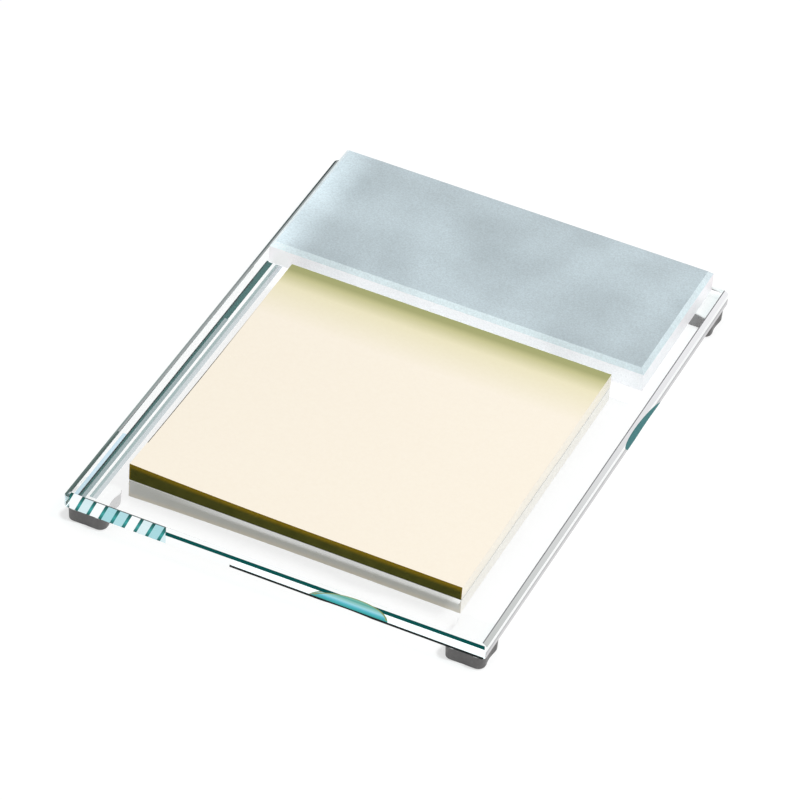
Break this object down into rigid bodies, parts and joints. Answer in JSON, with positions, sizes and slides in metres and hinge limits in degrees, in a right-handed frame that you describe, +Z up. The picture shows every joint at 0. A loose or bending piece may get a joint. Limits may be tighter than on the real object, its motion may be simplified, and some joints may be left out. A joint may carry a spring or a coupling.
{
  "type": "memo pad holder",
  "caption": "Clear glass desk holder that carries a square note pad in front of a frosted header block, on rubber feet.",
  "frame": {"origin": "on the desk, under the middle of the plate", "axes": "+X to the right, +Y from the pad towards the header block, +Z up"},
  "size_m": [0.096, 0.129, 0.0132],
  "materials": {
    "clear_glass": "polished float glass, pale teal at the edges",
    "frosted_glass": "sand-blasted on the faces, fine even grain",
    "clear_adhesive": "clear cured adhesive film",
    "clear_tape": "clear double-sided tape",
    "backing_card": "plain pulp board",
    "note_paper": "uncoated pale yellow paper",
    "note_gum": "tacky repositionable gum",
    "foot_rubber": "moulded black-brown rubber, satin",
    "foot_tape": "thin white adhesive foam"
  },
  "bodies": {
    "holder": {"base_plate": "clear_glass", "header_block": "frosted_glass", "header_bond": "clear_adhesive", "foot_front_left": "foot_rubber", "foot_tape_front_left": "foot_tape", "foot_front_right": "foot_rubber", "foot_tape_front_right": "foot_tape", "foot_rear_left": "foot_rubber", "foot_tape_rear_left": "foot_tape", "foot_rear_right": "foot_rubber", "foot_tape_rear_right": "foot_tape"},
    "note_pad": {"pad_tape": "clear_tape", "pad_backing": "backing_card", "pad_sheets": "note_paper"},
    "top_leaf": {"top_sheet": "note_paper", "top_sheet_gum": "note_gum"}
  },
  "joints": [
    {"name": "pad_lift", "type": "slide", "parent": "holder", "child": "note_pad", "axis": [0, 0, 1], "range_m": [0, 0.03]},
    {"name": "sheet_peel", "type": "hinge", "parent": "note_pad", "child": "top_leaf", "pos_m": [0, 0.0215, 0.011], "axis": [-1, 0, 0], "range_deg": [0, 110]}
  ]
}
